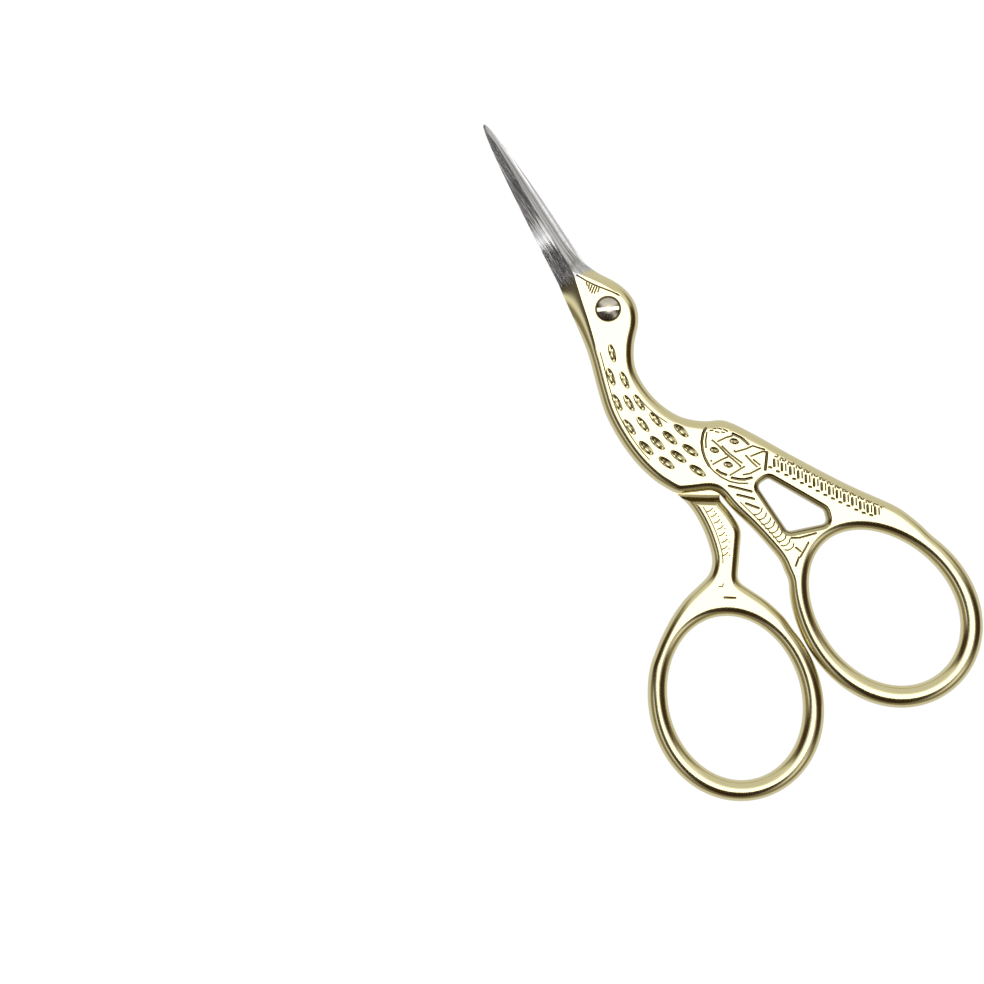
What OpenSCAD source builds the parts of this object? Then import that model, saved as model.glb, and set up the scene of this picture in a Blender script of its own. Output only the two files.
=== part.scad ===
// Stork embroidery scissors, closed and lying flat.
// The origin is where the pivot axis meets the table. +Y runs along the blades to the tips,
// +X is the side of the stork's back and tail, and +Z is up.

/* [Plate and rims] */
// Thickness of the closed pair, both halves together
pair_t = 3.8; // [3.4:0.1:4.4]
// Free gap between the two halves where they lap
lap_gap = 0.06; // [0.04:0.01:0.1]
// Width of the rounded rim round the neck and body, seen from above
rim_w = 1.4; // [1.1:0.05:1.5]
// Width of the rounded rim on legs, tail and rings
slim_rim_w = 1.2; // [1:0.05:1.25]
// Width of the rounded rim of the opening between leg and tail
tail_rim_w = 0.9; // [0.7:0.05:1.1]
// Height of the straight wall between the two rims
wall_h = 0.8; // [0.6:0.1:1.2]

/* [Blades] */
// Distance from the pivot to the tips
tip_y = 35; // [33:0.5:37]
// Distance from the pivot to the root of the ridge, where the flat face ends in a point
root_y = 8; // [7.8:0.1:8.2]
// Width from the ridge to the spine at the root
spine_w = 2.8; // [2.7:0.05:2.9]
// Width from the ridge to the cutting edge at the root
edge_w = 1.5; // [1.4:0.05:1.6]
// Width left at the tip, each side of the ridge
tip_w = 0.15; // [0.1:0.05:0.25]
// Height of the ridge over the inner face at the tip
tip_h = 0.55; // [0.4:0.05:0.8]
// Height of the spine's wall over the inner face at the root
spine_h = 1.25; // [1.1:0.05:1.4]
// Thickness left at the ground cutting edge
edge_h = 0.08; // [0.06:0.01:0.15]

/* [Finger rings] */
// Inner half width and half length of the rear half's ring
rear_ring_inner = [10.5, 13.1]; // [10:0.1:13.5]
// Outer half width and half length of the rear half's ring
rear_ring_outer = [13.7, 16.4]; // [13.4:0.1:17]
// Inner half width and half length of the front half's ring
front_ring_inner = [10.3, 13.7]; // [10:0.1:14]
// Outer half width and half length of the front half's ring
front_ring_outer = [13.6, 17.1]; // [13.3:0.1:17.5]

/* [Pivot screw] */
// Radius of the shank
shank_r = 1.2; // [1.1:0.05:1.3]
// Radial clearance of the front half on the shank
pivot_clearance = 0.05; // [0.02:0.01:0.08]
// Radius of the head
head_r = 1.85; // [1.8:0.05:2.05]
// Ring of air round the head in its counterbore
head_gap = 0.12; // [0.1:0.02:0.24]
// Depth of the counterbore in the front half
head_depth = 0.85; // [0.6:0.05:1]
// Rise of the domed head over the front half's face
head_rise = 0.25; // [0.1:0.05:0.4]
// Width and depth of the screwdriver slot
slot = [0.6, 0.5]; // [0.3:0.05:0.8]
// Angle of the slot to +X
slot_angle = -28; // [-90:1:90]

/* [Smoothness] */
// Straight steps in each stretch of a free curve
curve_steps = 3; // [2:1:4]
// Straight steps in the quarter turn of a rim
rim_steps = 3; // [3:1:5]
// Points round a finger ring
ring_points = 56; // [32:4:64]
// Stations along a blade
blade_steps = 10; // [6:1:16]

/* [Hidden] */

gold = "#cfc38a";
steel = "#c9c6bd";
lap_z = pair_t / 2;
over = 1;

// Centre, turn and lean of each finger ring. The lean makes the oval egg shaped.
rear_ring_at = [-16.9, -62.2];
rear_ring_turn = -18;
rear_ring_lean = [-0.02, -0.05];
front_ring_at = [10.6, -63];
front_ring_turn = 9;
front_ring_lean = [-0.06, -0.08];

// Side of the neck and breast, from the blade root to the corner of the belly
breast = [
    [-4.6, 6.2], [-5.1, 3.2], [-5.6, 0], [-6.55, -4.5], [-8.2, -9.5], [-9.4, -13.8],
    [-9.8, -18.5], [-9.5, -23], [-8.5, -27], [-6.8, -30.4]
];
// Side of the back and head, from the tail's root to the blade root
back = [
    [6.9, -26.3], [5.4, -24.4], [3, -23.1], [0.3, -20.5], [-1.3, -17], [-1.85, -13.3],
    [-1.4, -9.9], [0.4, -6.9], [2.7, -4.6], [4, -2.2], [4.15, 0.3], [3.4, 2.8], [1.8, 5.6]
];
// Edge of the belly and of the leg, from the belly's corner to the front half's ring
front_belly = [[-6.8, -30.4], [-4.2, -31.7], [-1.9, -32.8]];
front_leg = [[-1.25, -33.8], [-0.9, -37], [0, -41], [0.65, -45], [0.95, -48], [0.6, -49.8]];
// Outer edge of the tail, from the front half's ring to the back
tail = [[22.7, -55.8], [21.8, -52.9], [20.6, -50.3], [16.5, -43.9], [12, -35.9], [8.9, -29.9]];
// Corners of the opening between leg and tail, before they are rounded
tail_opening = [[5.2, -36.9], [5.3, -44.3], [9.9, -46.1], [10.2, -45.2], [6, -36.9]];
tail_opening_r = 0.8;
// Edge of the rear half from the corner of the belly down its leg to the ring
rear_shank = [
    [-6.35, -32.2], [-6.2, -34.5], [-6.5, -37.5], [-7.1, -40], [-7.9, -42.1], [-9.5, -43.7],
    [-12, -44.3], [-15, -44.9], [-18.5, -46.3], [-22, -48.3]
];
// Other edge of that leg, from the ring up to where the rear plate begins
rear_calf = [[-3.35, -55.8], [-4.2, -52.4], [-5.3, -49.7], [-6.2, -47.6]];
rear_knee = [[-6.3, -46.8], [-1.6, -40.8]];
rear_thigh = [[-1.4, -39.4], [-1.45, -37], [-1.85, -34.5]];
// Lower edge of the rear plate, behind the wing
rear_wing = [[2.4, -31.3], [7.7, -27.7]];
// A shoulder is where a half leaves the lap and gets its whole thickness.
// Each is a straight line through two points.
rear_shoulder = [[-6.6, -31.4], [-1.9, -34.6]];
front_shoulder = [[-1.2, -34.9], [8.6, -28.2]];
shoulder_reach = 60;
// Below this height on the body the rims have their slim width
slim_below = -34;

// Height on the blade between which the rims widen into ground facets: [spine side, edge side]
front_run_out = [-4.5, 2];
rear_run_out = [1, -1];
// Ridge of each blade at its root and at its tip
front_ridge = [-1.5, -0.35];
rear_ridge = [-1.85, -0.42];

// Curves

// Point at t between b and c on a smooth curve through a, b, c and d
function between(a, b, c, d, t) =
    0.5 * (2 * b + (c - a) * t + (2 * a - 5 * b + 4 * c - d) * t ^ 2
        + (3 * b - a - 3 * c + d) * t ^ 3);

// Smooth curve through hand-chosen points, both ends included
function smooth(points, steps = curve_steps) =
    let (last = len(points) - 1)
    [
        for (i = [0 : last - 1], k = [0 : steps - 1])
            between(points[max(i - 1, 0)], points[i], points[i + 1],
                points[min(i + 2, last)], k / steps),
        points[last]
    ];

// Point of an egg-shaped oval at angle t
function egg(at, half, turn, lean, t) =
    let (x = half.x * cos(t) * (1 + lean * sin(t)))
    let (y = half.y * sin(t))
    at + [x * cos(turn) - y * sin(turn), x * sin(turn) + y * cos(turn)];

function egg_arc(at, half, turn, lean, from, to) =
    let (steps = round(ring_points * (to - from) / 360))
    [for (i = [0 : steps]) egg(at, half, turn, lean, from + (to - from) * i / steps)];

function egg_loop(at, half, turn, lean) =
    [for (i = [0 : ring_points - 1]) egg(at, half, turn, lean, 360 * i / ring_points)];

// Convex loop grown by r with round corners
function rounded(corners, r, steps = 3) =
    let (n = len(corners))
    [
        for (i = [0 : n - 1])
            let (into = corners[i] - corners[(i + n - 1) % n])
            let (out = corners[(i + 1) % n] - corners[i])
            let (from = atan2(-into.x, into.y))
            let (turn = (atan2(-out.x, out.y) - from + 720) % 360)
            for (k = [0 : steps])
                corners[i] + r * [cos(from + turn * k / steps), sin(from + turn * k / steps)]
    ];

function unit(v) = v / norm(v);

// Outward direction at each point of a loop, stretched so that the sides move by one
function outward(loop) =
    let (n = len(loop))
    [
        for (i = [0 : n - 1])
            let (a = unit(loop[i] - loop[(i + n - 1) % n]))
            let (b = unit(loop[(i + 1) % n] - loop[i]))
            [a.y + b.y, -a.x - b.x] / (1 + a * b)
    ];

function grown(loop, by) =
    let (dir = outward(loop))
    [for (i = [0 : len(loop) - 1]) loop[i] + by * dir[i]];

// The same loop seen from behind
function flipped(loop) = [for (i = [len(loop) - 1 : -1 : 0]) [-loop[i].x, loop[i].y]];

function mix(a, b, t) = a + (b - a) * t;

function ramp(x, from, to) = min(1, max(0, (x - from) / (to - from)));

// Solids

// Closed skin over a stack of loops. At both ends of the stack the last `shared` points of a
// loop are the same as its first ones, in reverse: there the skin closes along a ridge.
module skin(stack, shared = 0) {
    n = len(stack[0]);
    top = len(stack) - 1;
    function id(level, i) =
        let (j = i % n)
        let (folds = (level == 0 || level == top) && j >= n - shared)
        level * n + (folds ? n - 1 - j : j);
    sides = [
        for (level = [0 : top - 1], i = [0 : n - 1])
            let (a = id(level, i))
            let (b = id(level, i + 1))
            let (c = id(level + 1, i + 1))
            let (d = id(level + 1, i))
            each [if (a != b) [a, c, b], if (c != d) [a, d, c]]
    ];
    first = max(shared - 1, 0);
    last = n - 1 - shared;
    floor_cap = [for (i = [first : last]) i];
    roof_cap = [for (i = [last : -1 : first]) top * n + i];
    polyhedron(
        points = [for (level = stack) each level],
        faces = concat(sides, [floor_cap, roof_cap])
    );
}

// Opening through the plate, rounded like the rims
module rimmed_opening(loop, w = slim_rim_w) {
    rim_h = (pair_t - wall_h) / 2;
    stack = [
        [w, -over],
        for (k = [rim_steps : -1 : 0])
            [w * (1 - cos(90 * k / rim_steps)), rim_h * (1 - sin(90 * k / rim_steps))],
        for (k = [0 : rim_steps])
            [w * (1 - cos(90 * k / rim_steps)),
                pair_t - rim_h * (1 - sin(90 * k / rim_steps))],
        [w, pair_t + over]
    ];
    skin([for (level = stack) [for (p = grown(loop, level[0])) [p.x, p.y, level[1]]]]);
}

// Blade and plate of one half, seen from its outer face with the spine on the left, whole in
// thickness. body is its outline from the root on the spine side to the root on the edge side.
module blade_and_plate(body, ridge, run_out) {
    function along(y) = (y - root_y) / (tip_y - root_y);
    function ridge_at(y) = [mix(ridge[0], ridge[1], along(y)), y];
    function spine_at(y) = ridge_at(y) - [tip_w + (spine_w - tip_w) * (1 - along(y)) ^ 0.6, 0];
    function edge_at(y) = ridge_at(y) + [tip_w + (edge_w - tip_w) * (1 - along(y)) ^ 0.65, 0];

    // Stations from the root to the tip, closer together near the tip
    stations = [
        for (j = [0 : blade_steps])
            mix(root_y, tip_y, 1 - (1 - j / blade_steps) ^ 1.4)
    ];
    m = blade_steps;
    outline = concat(
        [for (j = [m : -1 : 0]) spine_at(stations[j])],
        body,
        [[edge_at(root_y).x + 0.55, root_y + 0.6]],
        [for (j = [1 : m]) edge_at(stations[j])]
    );
    n = len(outline);
    dir = outward(outline);
    blade_rims = [
        for (j = [0 : m])
            [ridge_at(stations[j]), mix(lap_z, tip_h, along(stations[j]))]
    ];
    // For each point: foot of the rim, top of the rim, wall height, top height, flatness
    rims = [
        for (i = [0 : n - 1])
            let (p = outline[i])
            let (on_spine = i <= m)
            let (on_edge = i >= n - 1 - m)
            let (spine_side = i < n / 2)
            let (r = ramp(p.y, run_out[spine_side ? 0 : 1], root_y))
            let (j = on_spine ? m - i : i - (n - 1 - m))
            let (root_wall = spine_side ? spine_h : edge_h)
            let (root_w = spine_side ? spine_w : edge_w + 0.6)
            let (plate_w = mix(slim_rim_w, rim_w, ramp(p.y, slim_below, slim_below + 6)))
            on_spine || on_edge
                ? [p, blade_rims[j][0],
                    on_spine ? mix(spine_h, tip_h * 0.7, along(p.y)) : edge_h,
                    blade_rims[j][1], 1]
                : [p, p - dir[i] * mix(plate_w, root_w, spine_side ? r : r ^ 2),
                    mix(wall_h / 2, root_wall, r), lap_z, r]
    ];
    // Share of the way in and up on step k of a rim: round on the plate, flat on the blade
    function share(k, flat) =
        let (turn = 90 * k / rim_steps)
        [mix(1 - cos(turn), k / rim_steps, flat), mix(sin(turn), k / rim_steps, flat)];
    function ring(k, side) = [
        for (rim = rims)
            let (s = share(k, rim[4]))
            let (p = mix(rim[0], rim[1], s[0]))
            [p.x, p.y, lap_z + side * mix(rim[2], rim[3], s[1])]
    ];
    skin(
        concat([for (k = [rim_steps : -1 : 0]) ring(k, -1)], [for (k = [0 : rim_steps]) ring(k, 1)]),
        shared = m + 1
    );
}

// Everything on the blade side of a line, from z up
module beyond(line, z, height) {
    step = unit(line[1] - line[0]) * shoulder_reach;
    left = [-step.y, step.x];
    translate([0, 0, z])
        linear_extrude(height = height)
            polygon([line[0] - step, line[1] + step, line[1] + step + left * 2,
                line[0] - step + left * 2]);
}

module front_half() {
    body = concat(
        smooth(breast),
        [for (i = [1 : 2]) front_belly[i]],
        smooth(front_leg, 1),
        egg_arc(front_ring_at, front_ring_outer, front_ring_turn, front_ring_lean[1], 130, 371),
        smooth(tail, 1),
        smooth(back)
    );
    color(gold)
        difference() {
            resize([0, 0, pair_t])
                difference() {
                    blade_and_plate(body, front_ridge, front_run_out);
                    rimmed_opening(egg_loop(front_ring_at, front_ring_inner, front_ring_turn,
                        front_ring_lean[0]));
                    rimmed_opening(rounded(tail_opening, tail_opening_r), tail_rim_w);
                    beyond(front_shoulder, -over, over + lap_z + lap_gap / 2);
                }
            translate([0, 0, -over])
                cylinder(h = pair_t + 2 * over, r = shank_r + pivot_clearance, $fn = 48);
            translate([0, 0, pair_t - head_depth])
                cylinder(h = head_depth + over, r = head_r + head_gap, $fn = 48);
        }
}

module rear_half() {
    body = concat(
        smooth(breast),
        smooth(rear_shank),
        egg_arc(rear_ring_at, rear_ring_outer, rear_ring_turn, rear_ring_lean[1], 148, 389),
        smooth(rear_calf, 1),
        rear_knee,
        smooth(rear_thigh, 1),
        rear_wing,
        smooth(back)
    );
    color(gold)
        difference() {
            resize([0, 0, pair_t])
                difference() {
                    translate([0, 0, pair_t])
                        rotate([0, 180, 0])
                            blade_and_plate(flipped(body), -rear_ridge, rear_run_out);
                    rimmed_opening(egg_loop(rear_ring_at, rear_ring_inner, rear_ring_turn,
                        rear_ring_lean[0]));
                    beyond(rear_shoulder, lap_z - lap_gap / 2, lap_z + over);
                }
            translate([0, 0, -over])
                cylinder(h = pair_t + 2 * over, r = shank_r, $fn = 48);
        }
}

module pivot_screw() {
    seat_z = pair_t - head_depth + lap_gap;
    rim_z = pair_t - head_rise / 2;
    top_z = pair_t + head_rise;
    dome_h = top_z - rim_z;
    dome_r = (head_r ^ 2 + dome_h ^ 2) / (2 * dome_h);
    color(steel)
        difference() {
            union() {
                cylinder(h = seat_z + over / 4, r = shank_r, $fn = 48);
                intersection() {
                    translate([0, 0, seat_z])
                        cylinder(h = top_z - seat_z, r = head_r, $fn = 48);
                    translate([0, 0, top_z - dome_r])
                        sphere(r = dome_r, $fn = 96);
                }
            }
            rotate([0, 0, slot_angle])
                translate([-head_r - over, -slot[0] / 2, top_z - slot[1]])
                    cube([2 * (head_r + over), slot[0], over]);
        }
}

rear_half();
front_half();
pivot_screw();
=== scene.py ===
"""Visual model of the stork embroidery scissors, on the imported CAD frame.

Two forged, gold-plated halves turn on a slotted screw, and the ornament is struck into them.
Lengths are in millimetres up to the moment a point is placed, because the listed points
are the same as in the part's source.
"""

import math
import bmesh
import bpy
from mathutils import Matrix, Vector


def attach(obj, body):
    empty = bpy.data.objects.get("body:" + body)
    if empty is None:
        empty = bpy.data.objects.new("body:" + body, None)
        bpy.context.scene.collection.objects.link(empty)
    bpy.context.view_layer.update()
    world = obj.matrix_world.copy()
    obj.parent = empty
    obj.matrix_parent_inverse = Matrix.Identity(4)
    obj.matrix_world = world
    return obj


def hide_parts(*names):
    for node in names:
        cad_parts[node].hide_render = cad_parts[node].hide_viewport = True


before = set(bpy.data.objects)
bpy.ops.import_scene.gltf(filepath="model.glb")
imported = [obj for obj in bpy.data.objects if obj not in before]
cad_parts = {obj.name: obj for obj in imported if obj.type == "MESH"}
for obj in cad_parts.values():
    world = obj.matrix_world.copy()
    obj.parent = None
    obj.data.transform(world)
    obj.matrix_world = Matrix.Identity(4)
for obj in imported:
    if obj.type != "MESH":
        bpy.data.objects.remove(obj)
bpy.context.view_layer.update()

MM = 0.001

# Sizes shared with the CAD part

# The plate: thickness, the halves' common face and the gap there, rims and the wall between them
PLATE_T = 3.8
LAP_Z = 1.9
LAP_GAP = 0.06
RIM_W = 1.4
SLIM_RIM_W = 1.2
TAIL_RIM_W = 0.9
WALL_H = 0.8
# The rims are slim on the legs, below this line
SLIM_BELOW = -34.0

# The blades: tip and root along Y, widths of the facets at root and tip, and heights
TIP_Y = 35.0
ROOT_Y = 8.0
SPINE_W = 2.8
EDGE_W = 1.5
TIP_W = 0.15
TIP_H = 0.55
SPINE_H = 1.25
EDGE_H = 0.08
# X of each blade's ridge at root and tip, seen from the half's outer face
FRONT_RIDGE = (-1.5, -0.35)
REAR_RIDGE = (1.85, 0.42)
# Y where the rim begins to run out into the facets, on the spine side and on the edge side
FRONT_RUN_OUT = (-4.5, 2)
REAR_RUN_OUT = (1, -1)

# The screw: radii, head, and width, depth and angle of its slot
SHANK_R = 1.2
SHANK_GAP = 0.05
HEAD_R = 1.85
HEAD_GAP = 0.12
HEAD_DEPTH = 0.85
HEAD_RISE = 0.25
SLOT_W = 0.6
SLOT_DEPTH = 0.5
SLOT_ANGLE = -28

# Forms that only the visual model has

# Rim of the finger rings, as wide as the photo shows it
RING_RIM_W = 1.47
# Flat band inside the rims, which keeps the mirror of the face flat up to them
BAND_W = 0.03
# How early the facets narrow along the blade, on the spine side and on the edge side
SPINE_SWEEP = 0.6
EDGE_SWEEP = 0.65
# Height of the spine's wall at the tip
TIP_WALL_H = TIP_H * 0.7
# How far the blade's edge flares into the head, and where that ends
FLARE_W = 0.9
FLARE_END_Y = 13.0
# How far the border of the flat face heads on before it bends to the ridge's root
BEND_REACH = 2.5
# Hollow of the ground facets, as a share of their height
FACET_HOLLOW = 0.04
# Uneven patch in each blade's grinding: its place, reach and height
PATCH_Y = 15.2
PATCH_REACH = 2.6
PATCH_H = 0.44
# Bevel along the spine on the inner face: share of the spine's facet, rise, and Y of its start
# and of its full rise
BEVEL_SHARE = 0.62
BEVEL_RISE = 0.13
BEVEL_START_Y = 5.5
BEVEL_FULL_Y = 9
# Fillet at the foot of the rear half's shoulder
FILLET_W = 0.9
FILLET_H = 0.45
# Rounding of the upper rim of that shoulder, and how much painted shade the shoulder and the
# wall of the tail's opening carry
SHOULDER_RIM_W = 1.0
SHOULDER_PAINTED_SHADE = 0.7
OPENING_PAINTED_SHADE = 0.5
# The dome's rim lies this far below the face
DOME_DROP = 0.05
# How far a cutter reaches past what it cuts, and half the length of the slot's cutter
CLEAR = 1
SLOT_REACH = 3
# Metres within which points are one, and within which a point lies at a height
WELD = 2e-6
LEVEL = 1e-6

# Finger rings: centre, turn, half lengths and lean of the egg-shaped edges, and the angles
# between which the outer edge is free of the plate
REAR_RING = {
    "at": (-16.9, -62.2), "turn": -18,
    "inner": ((10.5, 13.1), -0.02), "outer": ((13.7, 16.4), -0.05),
    "free": (148, 389),
}
FRONT_RING = {
    "at": (10.6, -63.0), "turn": 9,
    "inner": ((10.3, 13.7), -0.06), "outer": ((13.6, 17.1), -0.08),
    "free": (130, 371),
}

# Outlines, as points listed along the edges of the two forgings
BREAST = [
    (-4.6, 6.2), (-5.1, 3.2), (-5.6, 0), (-6.55, -4.5), (-8.2, -9.5), (-9.4, -13.8),
    (-9.8, -18.5), (-9.5, -23), (-8.5, -27), (-6.8, -30.4),
]
BACK = [
    (6.9, -26.3), (5.4, -24.4), (3, -23.1), (0.3, -20.5), (-1.3, -17), (-1.85, -13.3),
    (-1.4, -9.9), (0.4, -6.9), (2.7, -4.6), (4, -2.2), (4.15, 0.3), (3.4, 2.8), (1.8, 5.6),
]
FRONT_BELLY = [(-4.2, -31.7), (-1.9, -32.8)]
FRONT_LEG = [(-1.25, -33.8), (-0.9, -37), (0, -41), (0.65, -45), (0.95, -48), (0.6, -49.8)]
TAIL = [(22.7, -55.8), (21.8, -52.9), (20.6, -50.3), (16.5, -43.9), (12, -35.9), (8.9, -29.9)]
TAIL_OPENING = [(5.2, -36.9), (5.3, -44.3), (9.9, -46.1), (10.2, -45.2), (6, -36.9)]
TAIL_OPENING_R = 0.8
REAR_SHANK = [
    (-6.35, -32.2), (-6.2, -34.5), (-6.5, -37.5), (-7.1, -40), (-7.9, -42.1), (-9.5, -43.7),
    (-12, -44.3), (-15, -44.9), (-18.5, -46.3), (-22, -48.3),
]
REAR_CALF = [(-3.35, -55.8), (-4.2, -52.4), (-5.3, -49.7), (-6.2, -47.6), (-6.3, -46.8)]
REAR_THIGH = [(-1.6, -40.8), (-1.4, -39.4), (-1.45, -37), (-1.85, -34.5)]
REAR_WING = [(2.4, -31.3), (7.7, -27.7)]
REAR_SHOULDER = [(-6.6, -31.4), (-1.9, -34.6)]
FRONT_SHOULDER = [(-1.2, -34.9), (8.6, -28.2)]

# Steps in the quarter turn of a rim, in a full turn of the screw, a seed and a dot, and on the
# screw's dome, stations on a blade and on its bevel, and spacing of points on an outline
RIM_STEPS = 8
TURN_STEPS = 96
SEED_STEPS = 32
DOT_STEPS = 16
DOME_STEPS = 14
BLADE_STATIONS = 36
BEVEL_STATIONS = 24
SPACING = 0.4


# Lines in the plane of the plate

def mix(a, b, t):
    """The value at t on the way from a to b."""
    return a + (b - a) * t


def ramp(x, low, high):
    """0 up to `low`, 1 from `high`, and even between them."""
    return min(1.0, max(0.0, (x - low) / (high - low)))


def between(a, b, c, d, t):
    """Point at t between b and c on the smooth line through a, b, c and d."""
    return tuple(
        0.5 * (2 * q + (r - p) * t + (2 * p - 5 * q + 4 * r - s) * t**2
               + (3 * q - p - 3 * r + s) * t**3)
        for p, q, r, s in zip(a, b, c, d)
    )


def curve(points, steps=12):
    """Smooth line through given points."""
    last = len(points) - 1
    line = []
    for i in range(last):
        a, b, c, d = points[max(i - 1, 0)], points[i], points[i + 1], points[min(i + 2, last)]
        line += [between(a, b, c, d, k / steps) for k in range(steps)]
    return line + [points[last]]


def egg_arc(ring, edge, start, stop, step=1.5):
    """Stretch of a finger ring's egg-shaped edge, from one angle to another."""
    half, lean = ring[edge]
    turn = math.radians(ring["turn"])
    count = round((stop - start) / step)
    line = []
    for i in range(count + 1):
        t = math.radians(mix(start, stop, i / count))
        x = half[0] * math.cos(t) * (1 + lean * math.sin(t))
        y = half[1] * math.sin(t)
        line.append((
            ring["at"][0] + x * math.cos(turn) - y * math.sin(turn),
            ring["at"][1] + x * math.sin(turn) + y * math.cos(turn),
        ))
    return line


def on_ring(p, ring, fade=22):
    """1 on the free stretch of a finger ring's outer edge, fading to 0 where it meets the plate."""
    half, lean = ring["outer"]
    start, stop = ring["free"]
    turn = math.radians(ring["turn"])
    x, y = p[0] - ring["at"][0], p[1] - ring["at"][1]
    x, y = x * math.cos(turn) + y * math.sin(turn), y * math.cos(turn) - x * math.sin(turn)
    y /= half[1]
    x /= half[0] * (1 + lean * y)
    off_the_edge = abs(math.hypot(x, y) - 1) > 0.02
    if off_the_edge:
        return 0.0
    t = math.degrees(math.atan2(y, x)) % 360
    if t < stop - 360:
        t += 360
    return ramp(t, start, start + fade) * ramp(-t, -stop, fade - stop)


def resampled(points, spacing, closed=False):
    """The same line with its points evenly spaced."""
    line = list(points) + ([points[0]] if closed else [])
    run = [0.0]
    for a, b in zip(line, line[1:]):
        run.append(run[-1] + math.dist(a, b))
    count = round(run[-1] / spacing)
    result = []
    j = 0
    for i in range(count if closed else count + 1):
        s = run[-1] * i / count
        while j < len(line) - 2 and run[j + 1] < s:
            j += 1
        t = (s - run[j]) / max(run[j + 1] - run[j], 1e-9)
        result.append(tuple(mix(p, q, t) for p, q in zip(line[j], line[j + 1])))
    return result


def bell(reach):
    """Weights of a point and its neighbours, falling off smoothly on both sides."""
    return [1 + math.cos(math.pi * k / (reach + 1)) for k in range(-reach, reach + 1)]


def eased(points, reach=3):
    """The same line with its corners eased over `reach` neighbours on each side."""
    n = len(points)
    result = []
    for i in range(n):
        r = min(reach, i, n - 1 - i)
        near = points[i - r:i + r + 1]
        w = bell(r)
        result.append(tuple(sum(a * b for a, b in zip(w, q)) / sum(w) for q in zip(*near)))
    return result


def outward(loop, reach=7):
    """Outward direction at each point of a loop, eased so that lines inside it don't cross."""
    n = len(loop)
    square = []
    for i in range(n):
        a, b = loop[i - 1], loop[(i + 1) % n]
        square.append(((b[1] - a[1]) / math.dist(a, b), (a[0] - b[0]) / math.dist(a, b)))
    w = bell(reach)
    result = []
    for i in range(n):
        near = [square[(i + k) % n] for k in range(-reach, reach + 1)]
        d = Vector([sum(a * b for a, b in zip(w, q)) for q in zip(*near)]).normalized()
        stretch = max(d.dot(square[i]), 0.7)
        result.append((d.x / stretch, d.y / stretch))
    return result


def moved(loop, directions, by):
    """The loop moved this far along the direction at each of its points."""
    return [(p[0] + by * d[0], p[1] + by * d[1]) for p, d in zip(loop, directions)]


def grown_corners(corners, r, steps=12):
    """Loop round these corners at distance r, with round corners."""
    n = len(corners)
    line = []
    for i in range(n):
        a, b, c = corners[i - 1], corners[i], corners[(i + 1) % n]
        start = math.atan2(-(b[0] - a[0]), b[1] - a[1])
        turn = (math.atan2(-(c[0] - b[0]), c[1] - b[1]) - start) % (2 * math.pi)
        for k in range(steps + 1):
            t = start + turn * k / steps
            line.append((b[0] + r * math.cos(t), b[1] + r * math.sin(t)))
    return line


# Working on meshes

def only(piece):
    """Nothing is selected but this piece, and it is the active one."""
    if bpy.context.mode != "OBJECT":
        bpy.ops.object.mode_set(mode="OBJECT")
    bpy.ops.object.select_all(action="DESELECT")
    piece.select_set(True)
    bpy.context.view_layer.objects.active = piece


def loft(name, rings, closed_ends=True):
    """Skin over a stack of rings with the same number of points: a circle, extruded ring by ring."""
    bpy.ops.object.select_all(action="DESELECT")
    bpy.ops.mesh.primitive_circle_add(vertices=len(rings[0]), radius=MM)
    piece = bpy.context.object
    piece.name = name
    order = piece.data.attributes.new("place_in_ring", "INT", "POINT")
    order.data.foreach_set("value", range(len(rings[0])))
    for v, p in zip(piece.data.vertices, rings[0]):
        v.co = Vector(p) * MM
    bpy.ops.object.mode_set(mode="EDIT")
    if closed_ends:
        bpy.ops.mesh.edge_face_add()
    bpy.ops.mesh.select_mode(type="EDGE")
    mesh = bmesh.from_edit_mesh(piece.data)
    for f in mesh.faces:
        f.select = False
    for e in mesh.edges:
        e.select = True
    for ring in rings[1:]:
        bpy.ops.mesh.extrude_edges_move()
        mesh = bmesh.from_edit_mesh(piece.data)
        place = mesh.verts.layers.int["place_in_ring"]
        for v in mesh.verts:
            if v.select:
                v.co = Vector(ring[v[place]]) * MM
        bmesh.update_edit_mesh(piece.data)
    if closed_ends:
        bpy.ops.mesh.edge_face_add()
    bpy.ops.mesh.select_all(action="SELECT")
    bpy.ops.mesh.normals_make_consistent(inside=False)
    bpy.ops.object.mode_set(mode="OBJECT")
    piece.data.attributes.remove(piece.data.attributes["place_in_ring"])
    return piece


def joined(name, pieces):
    """The pieces as one, under this name."""
    only(pieces[0])
    for other in pieces[1:]:
        other.select_set(True)
    bpy.ops.object.join()
    pieces[0].name = name
    return pieces[0]


def on_all(piece, operator, **settings):
    """Runs a mesh operator on the whole piece."""
    only(piece)
    bpy.ops.object.mode_set(mode="EDIT")
    bpy.ops.mesh.select_all(action="SELECT")
    operator(**settings)
    bpy.ops.object.mode_set(mode="OBJECT")


def darkened(piece, amount, flat_too=True):
    """Marks the faces with this much painted shade, which darkens the plating's colour there as if the
    hollow lay in shade.
    """
    layer = piece.data.attributes.new("painted_shade", "FLOAT", "FACE")
    for item, face in zip(layer.data, piece.data.polygons):
        item.value = amount if flat_too or abs(face.normal.z) < 0.99 else 0.0
    return piece


def fill_face(piece, z):
    """Closes the open loops that lie at height z with one flat face, openings left open."""
    only(piece)
    bpy.ops.object.mode_set(mode="EDIT")
    bpy.ops.mesh.select_mode(type="EDGE")
    bpy.ops.mesh.select_all(action="DESELECT")
    mesh = bmesh.from_edit_mesh(piece.data)
    for e in mesh.edges:
        e.select = e.is_boundary and all(abs(v.co.z - z * MM) < LEVEL for v in e.verts)
    bmesh.update_edit_mesh(piece.data)
    bpy.ops.mesh.fill(use_beauty=True)
    bpy.ops.object.mode_set(mode="OBJECT")


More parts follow.
